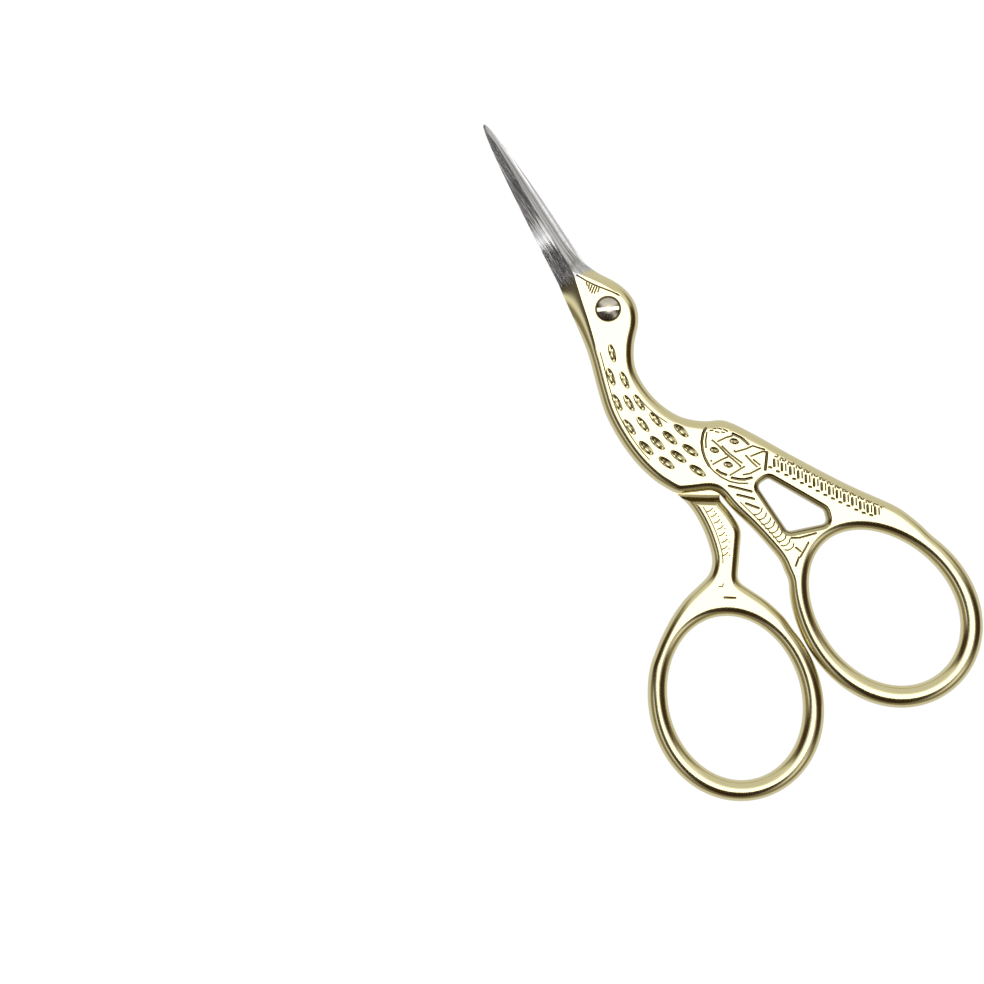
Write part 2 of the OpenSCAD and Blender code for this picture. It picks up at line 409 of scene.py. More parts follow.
def cut(piece, cutter):
    """Takes the cutter's shape away from the piece, and the cutter with it."""
    only(piece)
    tool = piece.modifiers.new("cut", "BOOLEAN")
    tool.operation = "DIFFERENCE"
    tool.solver = "MANIFOLD"
    tool.object = cutter
    bpy.ops.object.modifier_apply(modifier=tool.name)
    bpy.data.objects.remove(cutter)


def shade(piece):
    """Smooth shading, with crisp edges where the flat faces meet an engraved wall."""
    only(piece)
    bpy.ops.object.shade_smooth_by_angle(angle=math.radians(32))
    bpy.ops.object.mode_set(mode="EDIT")
    bpy.ops.mesh.select_mode(type="EDGE")
    bpy.ops.mesh.select_all(action="DESELECT")
    mesh = bmesh.from_edit_mesh(piece.data)
    for e in mesh.edges:
        if len(e.link_faces) == 2:
            a, b = (abs(f.normal.z) for f in e.link_faces)
            e.select = max(a, b) > 0.99999 and min(a, b) < 0.992
    bmesh.update_edit_mesh(piece.data)
    bpy.ops.mesh.mark_sharp()
    bpy.ops.object.mode_set(mode="OBJECT")


# Solids and cutters

def prism(name, corners, low, high):
    """Upright block over these corners."""
    return loft(name, [[(x, y, low) for x, y in corners], [(x, y, high) for x, y in corners]])


def full_turn(count):
    """Angles of this many even steps round a circle."""
    return [2 * math.pi * k / count for k in range(count)]


def round_bar(name, r, low, high):
    """Upright bar on the pivot's axis."""
    corners = [(r * math.cos(t), r * math.sin(t)) for t in full_turn(TURN_STEPS)]
    return prism(name, corners, low, high)


def beyond(name, line, levels):
    """All that lies on the blade side of a line, which steps back by an amount at each height."""
    a, b = Vector(line[0]), Vector(line[1])
    ahead = (b - a).normalized()
    left = Vector((-ahead.y, ahead.x))
    past_ends, past_tips = 60, 120
    rings = []
    for back, z in levels:
        p, q = a - ahead * past_ends - left * back, b + ahead * past_ends - left * back
        rings.append([(c.x, c.y, z) for c in (p, q, q + left * past_tips, p + left * past_tips)])
    return loft(name, rings)


def quarter(k):
    """Angle of step k in the quarter turn of a rim."""
    return math.pi / 2 * k / RIM_STEPS


def shoulder_levels(w, low, high):
    """Steps back and heights of a wall with a fillet at its foot and a rounded upper rim."""
    rim_h = (PLATE_T - WALL_H) / 2
    levels = [
        (-FILLET_W * (1 - math.sin(quarter(k))), low + FILLET_H * (1 - math.cos(quarter(k))))
        for k in range(RIM_STEPS)
    ]
    levels += [
        (w * (1 - math.cos(quarter(k))), PLATE_T - rim_h * (1 - math.sin(quarter(k))))
        for k in range(RIM_STEPS + 1)
    ]
    return levels + [(w, high)]


# The two forgings

def along(y):
    """0 at a blade's root, 1 at its tip."""
    return ramp(y, ROOT_Y, TIP_Y)


def ridge_x(ridge, y):
    """Where the blade's ridge is at this height."""
    return mix(ridge[0], ridge[1], along(y))


def spine_w(y):
    """Width of the facet on the spine side."""
    return mix(TIP_W, SPINE_W, (1 - along(y)) ** SPINE_SWEEP)


def edge_w(y):
    """Width of the facet on the edge side, which flares into the head."""
    flare = FLARE_W * ramp(-y, -FLARE_END_Y, -ROOT_Y) ** 2
    return mix(TIP_W, EDGE_W, (1 - along(y)) ** EDGE_SWEEP) + flare


def spine_wall(y):
    """Height of the spine over the lap, with the uneven patch in its grinding."""
    patch = PATCH_H * math.exp(-abs((y - PATCH_Y) / PATCH_REACH) ** 3)
    return mix(SPINE_H, TIP_WALL_H, along(y)) + patch


def blade_and_plate(name, body, openings, ridge, run_out, ring_share):
    """One half in its whole thickness, seen from its outer face with the spine on the left.

    Rounded rims run round the plate and its openings. Towards the blade they widen into the two
    ground facets, which meet at the ridge, and the flat face ends in a point at the ridge's root.
    """
    m = BLADE_STATIONS
    stations = [mix(ROOT_Y, TIP_Y, 1 - (1 - j / m) ** 1.4) for j in range(m + 1)]
    spine = [(ridge_x(ridge, y) - spine_w(y), y) for y in stations]
    edge = [(ridge_x(ridge, y) + edge_w(y), y) for y in stations]
    plate = eased(resampled([spine[0]] + body + [edge[0]], SPACING))
    outline = spine[:0:-1] + plate + edge[1:]
    n = len(outline)
    dirs = outward(outline)

    # From here on the edge side, the flat face's border bends in one curve to the ridge's root
    first = next(i for i in range(n // 2, n) if outline[i][1] > run_out[1])
    last = n - 1 - m
    start = Vector(outline[first]) - Vector(dirs[first]) * RIM_W
    ahead = (Vector(outline[first + 1]) - Vector(outline[first])).normalized()
    bend = start + ahead * BEND_REACH
    root = Vector((ridge_x(ridge, ROOT_Y), ROOT_Y))

    # For each point: its inner line, the height of wall and top over the lap, and flatness
    rims = []
    for i, p in enumerate(outline):
        spine_side = i < n / 2
        if i <= m or i >= last:
            y = stations[m - i if i <= m else i - last]
            wall = spine_wall(y) if i <= m else EDGE_H
            rims.append(((ridge_x(ridge, y), y), wall, mix(LAP_Z, TIP_H, along(y)), 1.0))
            continue
        r = ramp(p[1], run_out[0 if spine_side else 1], ROOT_Y)
        root_wall = SPINE_H if spine_side else EDGE_H
        w = mix(SLIM_RIM_W, RIM_W, ramp(p[1], SLIM_BELOW, SLIM_BELOW + 6))
        w = mix(w, RING_RIM_W, ring_share(p))
        if spine_side:
            w = mix(w, SPINE_W, r)
        inner = Vector(p) - Vector(dirs[i]) * w
        if i > first:
            u = (i - first) / (last - first)
            inner = start * (1 - u) ** 2 + bend * 2 * u * (1 - u) + root * u * u
        rims.append((tuple(inner), mix(WALL_H / 2, root_wall, r), LAP_Z, r))

    def ring(k, side):
        """Step k of the rims on the outer side (1) or the inner side (-1)."""
        ground = k / RIM_STEPS - FACET_HOLLOW * math.sin(math.pi * k / RIM_STEPS)
        level = []
        for p, (inner, wall, top, flat) in zip(outline, rims):
            inward = mix(1 - math.cos(quarter(k)), k / RIM_STEPS, flat)
            upward = mix(math.sin(quarter(k)), ground, flat)
            level.append((mix(p[0], inner[0], inward), mix(p[1], inner[1], inward),
                          LAP_Z + side * mix(wall, top, upward)))
        return level

    band = [
        p if rims[i][3] == 1.0 else (p[0] - dirs[i][0] * BAND_W, p[1] - dirs[i][1] * BAND_W, p[2])
        for i, p in enumerate(ring(RIM_STEPS, 1))
    ]
    under = [(x, y, 0.0 if rims[i][3] < 1.0 else 2 * LAP_Z - z) for i, (x, y, z) in enumerate(band)]
    skin = loft(
        name,
        [under] + [ring(k, -1) for k in range(RIM_STEPS, -1, -1)]
        + [ring(k, 1) for k in range(RIM_STEPS + 1)] + [band],
        closed_ends=False,
    )
    # The walls of the openings carry painted shade, as much as each is given
    walls = [darkened(opening_wall(loop, w), painted_shade) for loop, w, painted_shade in openings]
    piece = joined(name, [skin] + walls)
    on_all(piece, bpy.ops.mesh.remove_doubles, threshold=WELD)
    fill_face(piece, 0.0)
    fill_face(piece, PLATE_T)
    on_all(piece, bpy.ops.mesh.normals_make_consistent, inside=False)
    return piece, outline, dirs, rims


def opening_wall(loop, w):
    """Wall of an opening through the plate, with the same rounded rims."""
    dirs = outward(loop, reach=3)
    rim_h = (PLATE_T - WALL_H) / 2
    levels = [(w + BAND_W, 0.0)]
    for k in range(RIM_STEPS, -1, -1):
        levels.append((w * (1 - math.cos(quarter(k))), rim_h * (1 - math.sin(quarter(k)))))
    for k in range(RIM_STEPS + 1):
        levels.append((w * (1 - math.cos(quarter(k))), PLATE_T - rim_h * (1 - math.sin(quarter(k)))))
    levels.append((w + BAND_W, PLATE_T))
    rings = [[(x, y, z) for x, y in moved(loop, dirs, by)] for by, z in levels]
    return loft("opening", rings, closed_ends=False)


def ring_opening(ring):
    """Inner edge of a finger ring."""
    return resampled(egg_arc(ring, "inner", 0, 360)[:-1], SPACING, closed=True)


def turn_over(piece):
    """Lays a half on its other face."""
    piece.data.transform(Matrix.Translation((0, 0, PLATE_T * MM)) @ Matrix.Rotation(math.pi, 4, "Y"))


def from_behind(loop):
    """The same loop seen from the other face."""
    return [(-x, y) for x, y in reversed(loop)]


def inner_bevel(ridge):
    """Cutter for the slight bevel along the spine on a blade's inner face."""
    low = LAP_Z + LAP_GAP / 2
    rings = []
    for j in range(BEVEL_STATIONS + 1):
        y = mix(BEVEL_START_Y, TIP_Y + CLEAR / 2, j / BEVEL_STATIONS)
        x = ridge_x(ridge, y) - spine_w(y)
        wide = BEVEL_SHARE * spine_w(y)
        rise = BEVEL_RISE * ramp(y, BEVEL_START_Y - 0.1, BEVEL_FULL_Y)
        rings.append([
            (x - CLEAR / 2, y, -CLEAR), (x + wide, y, -CLEAR), (x + wide, y, low - 0.001),
            (x - CLEAR / 2, y, low + rise * (wide + CLEAR / 2)),
        ])
    return loft("inner_bevel", rings)


# The front half, with the lap, the bevel, the bore and the counterbore cut from below and above

front_body = (curve(BREAST) + FRONT_BELLY + curve(FRONT_LEG)
              + egg_arc(FRONT_RING, "outer", *FRONT_RING["free"]) + curve(TAIL) + curve(BACK))
tail_opening = resampled(grown_corners(TAIL_OPENING, TAIL_OPENING_R), SPACING, closed=True)
# The wall of the tail's opening carries painted shade
front, front_outline, front_dirs, front_rims = blade_and_plate(
    "front_half_forging", front_body,
    [(ring_opening(FRONT_RING), RING_RIM_W, 0.0), (tail_opening, TAIL_RIM_W, OPENING_PAINTED_SHADE)],
    FRONT_RIDGE, FRONT_RUN_OUT, lambda p: on_ring(p, FRONT_RING),
)
cut(front, beyond("lap", FRONT_SHOULDER, [(0.0, -CLEAR), (0.0, LAP_Z + LAP_GAP / 2)]))
cut(front, inner_bevel(FRONT_RIDGE))
cut(front, round_bar("bore", SHANK_R + SHANK_GAP, -CLEAR, PLATE_T + CLEAR))
cut(front, round_bar("counterbore", HEAD_R + HEAD_GAP, PLATE_T - HEAD_DEPTH, PLATE_T + CLEAR))


# The rear half, lofted with its outer face up, then laid on it. Its lap lies on top, and the
# shoulder carries painted shade for the front half's shadow on it

rear_body = (curve(BREAST) + curve(REAR_SHANK) + egg_arc(REAR_RING, "outer", *REAR_RING["free"])
             + curve(REAR_CALF) + curve(REAR_THIGH) + REAR_WING + curve(BACK))
rear, rear_outline, rear_dirs, rear_rims = blade_and_plate(
    "rear_half_forging", from_behind(rear_body),
    [(from_behind(ring_opening(REAR_RING)), RING_RIM_W, 0.0)],
    REAR_RIDGE, REAR_RUN_OUT, lambda p: on_ring((-p[0], p[1]), REAR_RING),
)
turn_over(rear)
rear_lap = beyond("lap", REAR_SHOULDER,
                  shoulder_levels(SHOULDER_RIM_W, LAP_Z - LAP_GAP / 2, PLATE_T + CLEAR))
# The shoulder's walls carry painted shade
cut(rear, darkened(rear_lap, SHOULDER_PAINTED_SHADE, flat_too=False))
rear_bevel = inner_bevel(REAR_RIDGE)
turn_over(rear_bevel)
cut(rear, rear_bevel)
cut(rear, round_bar("bore", SHANK_R, -CLEAR, PLATE_T + CLEAR))


# Punches and chisels

# Depth of a groove as a share of its width, and how far its foot leans towards the photo's foot
GROOVE_DEPTH = 0.24
GROOVE_LEAN = (-0.0336, -0.1152)
# Outlines of the punch for a seed: size, depth, and how much of the lean each has
SEED_LEVELS = (
    (1.12, -0.3, 0), (1.0, 0.0, 0), (0.6, 1.0, 1), (0.46, 0.75, 1), (0.3, 0.3, 1), (0.14, 0.2, 1),
)
SEED_LEAN = (-0.1, -0.09)
# Outlines of the punch for a dot: size and depth
DOT_LEVELS = ((1.2, -0.3), (1.0, 0.0), (0.6, 0.75), (0.2, 1.0))


def beside(line, half, shift):
    """Closed outline at distance `half` round an open line, with round ends."""
    n = len(line)
    line = [Vector(p) + Vector(shift) for p in line]
    sides = []
    for i in range(n):
        ahead = (line[min(i + 1, n - 1)] - line[max(i - 1, 0)]).normalized()
        sides.append(Vector((ahead.y, -ahead.x)))
    loop = [p + s * half for p, s in zip(line, sides)]
    for end, side in ((line[-1], sides[-1]), (line[0], -sides[0])):
        ahead = Vector((-side.y, side.x))
        for k in range(1, 6):
            turn = math.pi * k / 6
            loop.append(end + (side * math.cos(turn) + ahead * math.sin(turn)) * half)
        if end is line[-1]:
            loop += [p - s * half for p, s in reversed(list(zip(line, sides)))]
    return [tuple(p) for p in loop]


def groove(line, width):
    """Chisel for a groove along a line. It leans, so the wall at the top of the photo is wide."""
    depth = width * GROOVE_DEPTH
    lean = (GROOVE_LEAN[0] * width, GROOVE_LEAN[1] * width)
    back = (lean[0] * -0.5, lean[1] * -0.5)
    return loft("chisel", [
        [(x, y, depth * 0.5) for x, y in beside(line, width * 0.75, back)],
        [(x, y, -depth) for x, y in beside(line, width * 0.03, lean)],
    ])


def seed_punch(length, width, depth):
    """Punch that leaves a raised seed in an oval pit. The pit's upper right wall is wide."""
    return loft("seed_punch", [
        [
            (width * (size * math.cos(t) / 2 + SEED_LEAN[0] * lean),
             length * (size * math.sin(t) / 2 + SEED_LEAN[1] * lean), -depth * part)
            for t in full_turn(SEED_STEPS)
        ]
        for size, part, lean in SEED_LEVELS
    ])


def dot_punch(length, width, depth):
    """Punch that leaves a plain oval pit."""
    return loft("dot_punch", [
        [(width / 2 * size * math.cos(t), length / 2 * size * math.sin(t), -depth * part)
         for t in full_turn(DOT_STEPS)]
        for size, part in DOT_LEVELS
    ])


def set_over(tool, at=(0.0, 0.0), turn=0.0):
    """Sets a punch or chisel over its place on the upper face."""
    tool.data.transform(
        Matrix.Translation(Vector((at[0], at[1], PLATE_T)) * MM)
        @ Matrix.Rotation(math.radians(turn), 4, "Z")
    )
    return tool


def strike(piece, tool, places, painted_shade=1.0):
    """Strikes the same mark at each place: where, and how far it is turned."""
    marks = []
    for at, turn in places:
        mark = tool.copy()
        mark.data = tool.data.copy()
        bpy.context.scene.collection.objects.link(mark)
        marks.append(set_over(mark, at, turn))
    bpy.data.objects.remove(tool)
    # The marks carry painted shade, as much as is given
    cut(piece, darkened(joined("marks", marks), painted_shade))


def engrave(piece, lines, width, apart=True):
    """Cuts a groove along each line, all at once where none of them meet."""
    marks = [set_over(groove(line, width)) for line in lines]
    if apart:
        marks = [joined("marks", marks)]
    for mark in marks:
        # Each groove carries the full painted shade
        cut(piece, darkened(mark, 1.0))


# Struck ornament, as places and lines read from the photo

NECK_FEATHERS = [
    (-3.3, -6.2), (-5.5, -9.2), (-4.0, -10.8), (-6.9, -13.1), (-5.4, -14.2), (-4.0, -15.0),
    (-7.4, -17.4), (-5.4, -18.2), (-3.3, -18.7),
]
BODY_FEATHERS = [
    (-7.0, -21.6), (-5.1, -21.9), (-3.0, -22.3), (-0.9, -22.3), (-5.6, -25.3), (-3.5, -25.5),
    (-1.4, -25.7), (-2.2, -29.0),
]
WING_SEEDS = [(1.8, -27.75), (5.15, -28.3), (2.35, -30.85)]
WING_ARCS = [
    [(2.7, -24.0), (1.7, -24.6), (0.8, -25.6), (0.2, -26.8), (-0.15, -28.0), (-0.28, -29.4)],
    [(0.4, -30.6), (0.65, -31.3), (1.2, -32.0)],
    [(1.7, -32.9), (2.4, -33.6), (3.2, -34.2), (4.3, -34.6)],
    [(5.6, -27.2), (6.3, -28.3), (6.65, -29.4), (6.75, -29.9)],
]
WING_FAINT_ARCS = [
    [(2.3, -24.8), (1.5, -25.7), (0.9, -26.7)],
    [(-0.25, -29.7), (-0.1, -30.6), (0.35, -31.9), (1.1, -33.2), (2.1, -34.2), (3.3, -35.0)],
]
WING_LINES = [
    [(2.45, -26.5), (2.8, -27.9), (3.0, -29.2), (3.4, -30.5), (3.8, -31.9)],
    [(3.15, -27.9), (3.5, -29.6), (4.3, -31.8)],
    [(3.0, -26.9), (4.4, -27.1), (5.3, -27.4)],
    [(0.4, -29.5), (1.8, -29.6), (2.9, -29.8)],
    [(4.4, -29.8), (6.0, -30.3), (7.2, -30.5), (7.9, -31.4), (8.4, -32.0)],
    [(1.7, -32.4), (4.3, -32.5)],
    [(5.5, -31.4), (5.7, -32.6), (5.95, -33.6)],
    [(6.1, -32.4), (6.5, -33.6)],
    [(6.1, -31.7), (8.0, -32.1), (8.5, -32.5)],
    [(3.5, -33.5), (4.4, -33.9), (6.3, -34.1)],
]
WING_DOTS = [
    (0.45, -28.9), (2.95, -29.2), (3.8, -32.1), (2.35, -26.3), (5.45, -31.2), (4.35, -29.6),
    (6.7, -29.8),
]
WING_SCROLL = [
    [(2.9, -24.8), (3.3, -25.05)], [(3.6, -24.8), (3.8, -25.05)], [(4.1, -25.1), (4.5, -25.6)],
    [(4.8, -25.8), (5.1, -26.4)], [(3.5, -25.4), (3.9, -25.8)], [(4.3, -26.0), (4.6, -26.3)],
]
WING_EDGE = [[(8.5, -32.6), (7.7, -33.6), (6.8, -34.7)]]
CREST_LINE = [
    [(-1.2, 7.1), (-0.48, 5.58), (0.15, 4.5), (0.81, 3.53), (1.99, 1.89), (2.6, 0.8)],
]
CREST_HATCH = [
    [(-0.6, 5.35), (-0.75, 4.85)], [(-0.35, 4.9), (-0.8, 4.35)], [(-0.1, 4.5), (-0.9, 3.9)],
    [(0.15, 4.15), (-0.8, 3.5)], [(0.4, 3.85), (-0.45, 3.25)], [(0.65, 3.55), (0.1, 3.1)],
]
LEG_HATCH = [
    [(0.6, -33.7), (1.9, -35.1), (3.1, -36.4)], [(0.95, -35.6), (1.9, -36.6), (2.8, -37.6)],
    [(1.35, -37.5), (2.0, -38.4), (2.6, -39.2)],
]
# One loop on the leg, and the X of the first and last and the Y of each
LEG_LOOP = [(-0.85, 0.25), (-0.5, -0.05), (0.0, -0.15), (0.5, -0.05), (0.85, 0.3)]
LEG_LOOPS_X = (2.2, 3.3)
LEG_LOOPS_Y = [-39.8, -40.8, -41.8, -42.7, -43.6, -44.5, -45.4, -46.3, -47.2]
ANKLE = [
    [(4.1, -47.6), (4.4, -48.5)], [(2.5, -50.0), (3.7, -49.1)],
    [(3.9, -49.2), (4.9, -48.7), (6.2, -48.0)], [(4.3, -45.95), (5.5, -46.65), (8.0, -47.45)],
]
TAIL_CELLS = [
    (8.55, -34.6), (9.2, -35.8), (10.0, -37.0), (10.7, -38.2), (11.35, -39.4), (12.1, -40.6),
    (12.75, -41.8), (13.4, -43.0), (14.1, -44.1), (14.75, -45.25), (15.5, -46.4), (16.2, -47.6),
    (16.9, -48.65), (17.7, -49.6),
]
REAR_LEG_DENTS = [
    (-4.0, -35.3), (-3.9, -36.3), (-4.0, -37.4), (-4.1, -38.5), (-4.5, -39.5), (-4.7, -40.6),
    (-5.3, -41.5), (-5.8, -42.4),
]
REAR_LEG_STROKE = [(-0.5, 0.06), (0.0, -0.05), (0.5, 0.06)]
HEEL_DASH = [[(-9.6, -48.0), (-8.9, -48.5), (-8.2, -49.0)]]
HEEL_TICK = [[(-9.4, -46.1), (-8.9, -46.4), (-8.6, -46.1)]]

# Feathers: places, and length, width and depth of the punch
FEATHERS = (
    (NECK_FEATHERS, 3.1, 1.1, 0.11),
    (BODY_FEATHERS, 3.1, 1.25, 0.14),
)
# Painted shade in the feathers' pits
FEATHER_PAINTED_SHADE = 0.1
# Dark dents in the feathers: places, length and width, and how far right and up each sits
FEATHER_DENTS = (
    (NECK_FEATHERS, 0.7, 0.4, 0.12, 0.95),
    (NECK_FEATHERS, 0.8, 0.38, 0.14, -0.7),
    (BODY_FEATHERS, 1.45, 0.7, 0.06, 0.62),
)
DENT_DEPTH = 0.26
# Strokes round a cell of the tail: line, width, and how far right and up each sits
CELL_STROKES = (
    ([(-0.27, -0.44), (0.27, 0.44)], 0.44, 0.0, 0.0),
    ([(-0.2, -0.5), (0.32, 0.36)], 0.26, 0.43, -0.3),
    ([(-0.12, 0.1), (0.12, -0.16)], 0.4, -0.9, -0.2),
    ([(-0.28, 0.2), (-0.1, -0.08), (0.16, -0.05), (0.2, 0.14)], 0.28, 0.95, 0.62),
    ([(0.28, -0.2), (0.1, 0.08), (-0.16, 0.05), (-0.2, -0.14)], 0.28, 1.25, -0.02),
)
# Grooves that only the upper face has: lines, width, and whether none of them meet
FRONT_GROOVES = (
    (WING_ARCS, 0.48, True),
    (WING_FAINT_ARCS, 0.28, True),
    (WING_LINES, 0.32, False),
    (WING_SCROLL, 0.26, True),
    (WING_EDGE, 0.5, True),
    (CREST_LINE, 0.28, True),
    (CREST_HATCH, 0.24, True),
    (ANKLE, 0.36, True),
)
# Widths of the grooves on the legs, and of the lines beside the rims and how far inside they run
LEG_HATCH_W = 0.44
LEG_LOOP_W = 0.24
REAR_LEG_W = 0.22
BORDER_W = 0.2
REAR_BORDER_W = 0.18
BORDER_INSET = 0.41
# Seeds and dots of the wing, and dots of the rear leg: length, width and depth of the punch
WING_SEED = (1.6, 1.0, 0.12)
WING_SEED_TURN = 42
# Painted shade in the wing's seeds
WING_SEED_PAINTED_SHADE = 0.5
WING_DOT = (0.38, 0.38, 0.1)
REAR_LEG_DOT = (0.26, 0.26, 0.06)


def feather_turn(y):
    """The feathers lean right at the top of the neck and swing left down the body."""
    return mix(-18, 24, ramp(-y, 6, 27))


def feathered(piece, side):
    """Strikes the feathers of neck and body. side is -1 where the face is the mirrored one."""
    for places, length, width, depth in FEATHERS:
        spots = [((side * x, y), side * feather_turn(y)) for x, y in places]
        strike(piece, seed_punch(length, width, depth), spots, FEATHER_PAINTED_SHADE)
    for places, length, width, dx, dy in FEATHER_DENTS:
        spots = []
        for x, y in places:
            turn = math.radians(feather_turn(y))
            c, s = math.cos(turn), math.sin(turn)
            spots.append(((side * (x + dx * c - dy * s), y + dx * s + dy * c), side * feather_turn(y)))
        strike(piece, dot_punch(length, width, DENT_DEPTH), spots)


def laddered(piece, side):
    """Strikes the cells of the tail, the hatching of the thigh and the loops down the leg."""
    def place(points):
        return [(side * x, y) for x, y in points]

    for line, width, dx, dy in CELL_STROKES:
        spots = [((x + side * dx, y + dy), 0) for x, y in place(TAIL_CELLS)]
        strike(piece, groove(place(line), width), spots)
    engrave(piece, [place(line) for line in LEG_HATCH], LEG_HATCH_W)
    loops = []
    for i, y in enumerate(LEG_LOOPS_Y):
        x = mix(*LEG_LOOPS_X, i / (len(LEG_LOOPS_Y) - 1))
        loops.append(place([(x + dx, y + dy) for dx, dy in LEG_LOOP]))
    engrave(piece, loops, LEG_LOOP_W)


def border_line(outline, dirs, rims, wanted):
    """Line along the wanted part of the rim, on the flat face."""
    return [
        (rims[i][0][0] - dirs[i][0] * BORDER_INSET, rims[i][0][1] - dirs[i][1] * BORDER_INSET)
        for i in range(len(outline)) if wanted(i / len(outline), *outline[i])
    ]


# The front half's face, with lines beside the rim of the breast, the back and the leg. The marks
# on tail and leg are on its underside too
borders = [
    border_line(front_outline, front_dirs, front_rims, wanted) for wanted in (
        lambda part, x, y: part < 0.5 and -24 < y < -4.5,
        lambda part, x, y: part >= 0.5 and -19.5 < y < -14,
        lambda part, x, y: part < 0.5 and -46 < y < -37 and x > -3,
    )
]
feathered(front, 1)
strike(front, seed_punch(*WING_SEED), [(at, WING_SEED_TURN) for at in WING_SEEDS], WING_SEED_PAINTED_SHADE)
strike(front, dot_punch(*WING_DOT), [(at, 0) for at in WING_DOTS])
for lines, width, apart in FRONT_GROOVES:
    engrave(front, lines, width, apart)
engrave(front, borders, BORDER_W)
laddered(front, 1)
turn_over(front)
laddered(front, -1)
turn_over(front)

# The rear half's heel and leg, with a line beside the rim of the leg, and feathers on the
# outer face, which lies on the floor
engrave(rear, HEEL_DASH, 0.4)
engrave(rear, HEEL_TICK, REAR_LEG_W)
strike(rear, groove(REAR_LEG_STROKE, REAR_LEG_W), [(at, 0) for at in REAR_LEG_DENTS])
strike(rear, dot_punch(*REAR_LEG_DOT), [((x + 0.5, y - 0.5), 0) for x, y in REAR_LEG_DENTS])
leg_border = border_line(rear_outline, rear_dirs, rear_rims,
                         lambda part, x, y: -42.5 < y < -34 and x > 5.5)
engrave(rear, [from_behind(leg_border)], REAR_BORDER_W)
turn_over(rear)
feathered(rear, -1)
turn_over(rear)


# The screw

def slotted_screw():
    """Screw with a domed, slotted head."""
    seat_z = PLATE_T - HEAD_DEPTH + LAP_GAP
    top_z = PLATE_T + HEAD_RISE
    dome_h = HEAD_RISE + DOME_DROP
    dome_r = (HEAD_R**2 + dome_h**2) / (2 * dome_h)
    profile = [(SHANK_R, 0.0), (SHANK_R, seat_z), (HEAD_R, seat_z)]
    for k in range(DOME_STEPS):
        r = HEAD_R * (1 - k / DOME_STEPS)
        profile.append((r, top_z - dome_r + math.sqrt(dome_r**2 - r**2)))
    turns = full_turn(TURN_STEPS)
    rings = [[(r * math.cos(t), r * math.sin(t), z) for t in turns] for r, z in profile]
    screw = loft("slotted_screw", rings)
    c, s = math.cos(math.radians(SLOT_ANGLE)), math.sin(math.radians(SLOT_ANGLE))
    half = SLOT_W / 2
    corners = [(x * c - y * s, x * s + y * c) for x, y in (
        (-SLOT_REACH, -half), (SLOT_REACH, -half), (SLOT_REACH, half), (-SLOT_REACH, half),
    )]
    cut(screw, prism("slot", corners, top_z - SLOT_DEPTH, top_z + CLEAR))
    return screw


screw = slotted_screw()
for piece in (front, rear, screw):
    shade(piece)


# Materials

def linear(code):
    """sRGB hex to linear colour."""
    parts = [int(code[i:i + 2], 16) / 255 for i in (1, 3, 5)]
    return [c / 12.92 if c <= 0.04045 else ((c + 0.055) / 1.055) ** 2.4 for c in parts] + [1.0]


def add(tree, kind, inputs=None, **settings):
    """Adds a node, with its settings and with values or links for its inputs."""
    made = tree.nodes.new(kind)
    for key, value in settings.items():
        setattr(made, key, value)
    for key, value in (inputs or {}).items():
        if isinstance(value, bpy.types.NodeSocket):
            tree.links.new(value, made.inputs[key])
        else:
            made.inputs[key].default_value = value
    return made


def new_material(name):
    """Empty material, and its node tree."""
    material = bpy.data.materials.new(name)
    material.use_nodes = True
    material.node_tree.nodes.clear()
    return material, material.node_tree


def oil_and_painted_shade(tree, colour, inner, outer):
    """The colour, darkened by painted shade and old oil where the distance from the pivot's axis, in
    mm, goes from `outer` to `inner`."""
    place = add(tree, "ShaderNodeTexCoord").outputs["Object"]
    flat = add(tree, "ShaderNodeVectorMath", {0: place, 1: (1.0, 1.0, 0.0)}, operation="MULTIPLY")
    far = add(tree, "ShaderNodeVectorMath", {0: flat.outputs[0]}, operation="LENGTH")
    oil_and_shade_mask = add(tree, "ShaderNodeMapRange", {
        "Value": far.outputs["Value"], "From Min": outer * MM, "From Max": inner * MM,
    }, interpolation_type="SMOOTHSTEP")
    return add(tree, "ShaderNodeMix", {
        "Factor": oil_and_shade_mask.outputs[0], "A": colour, "B": linear("#4A3F30"),
    }, data_type="RGBA").outputs["Result"]


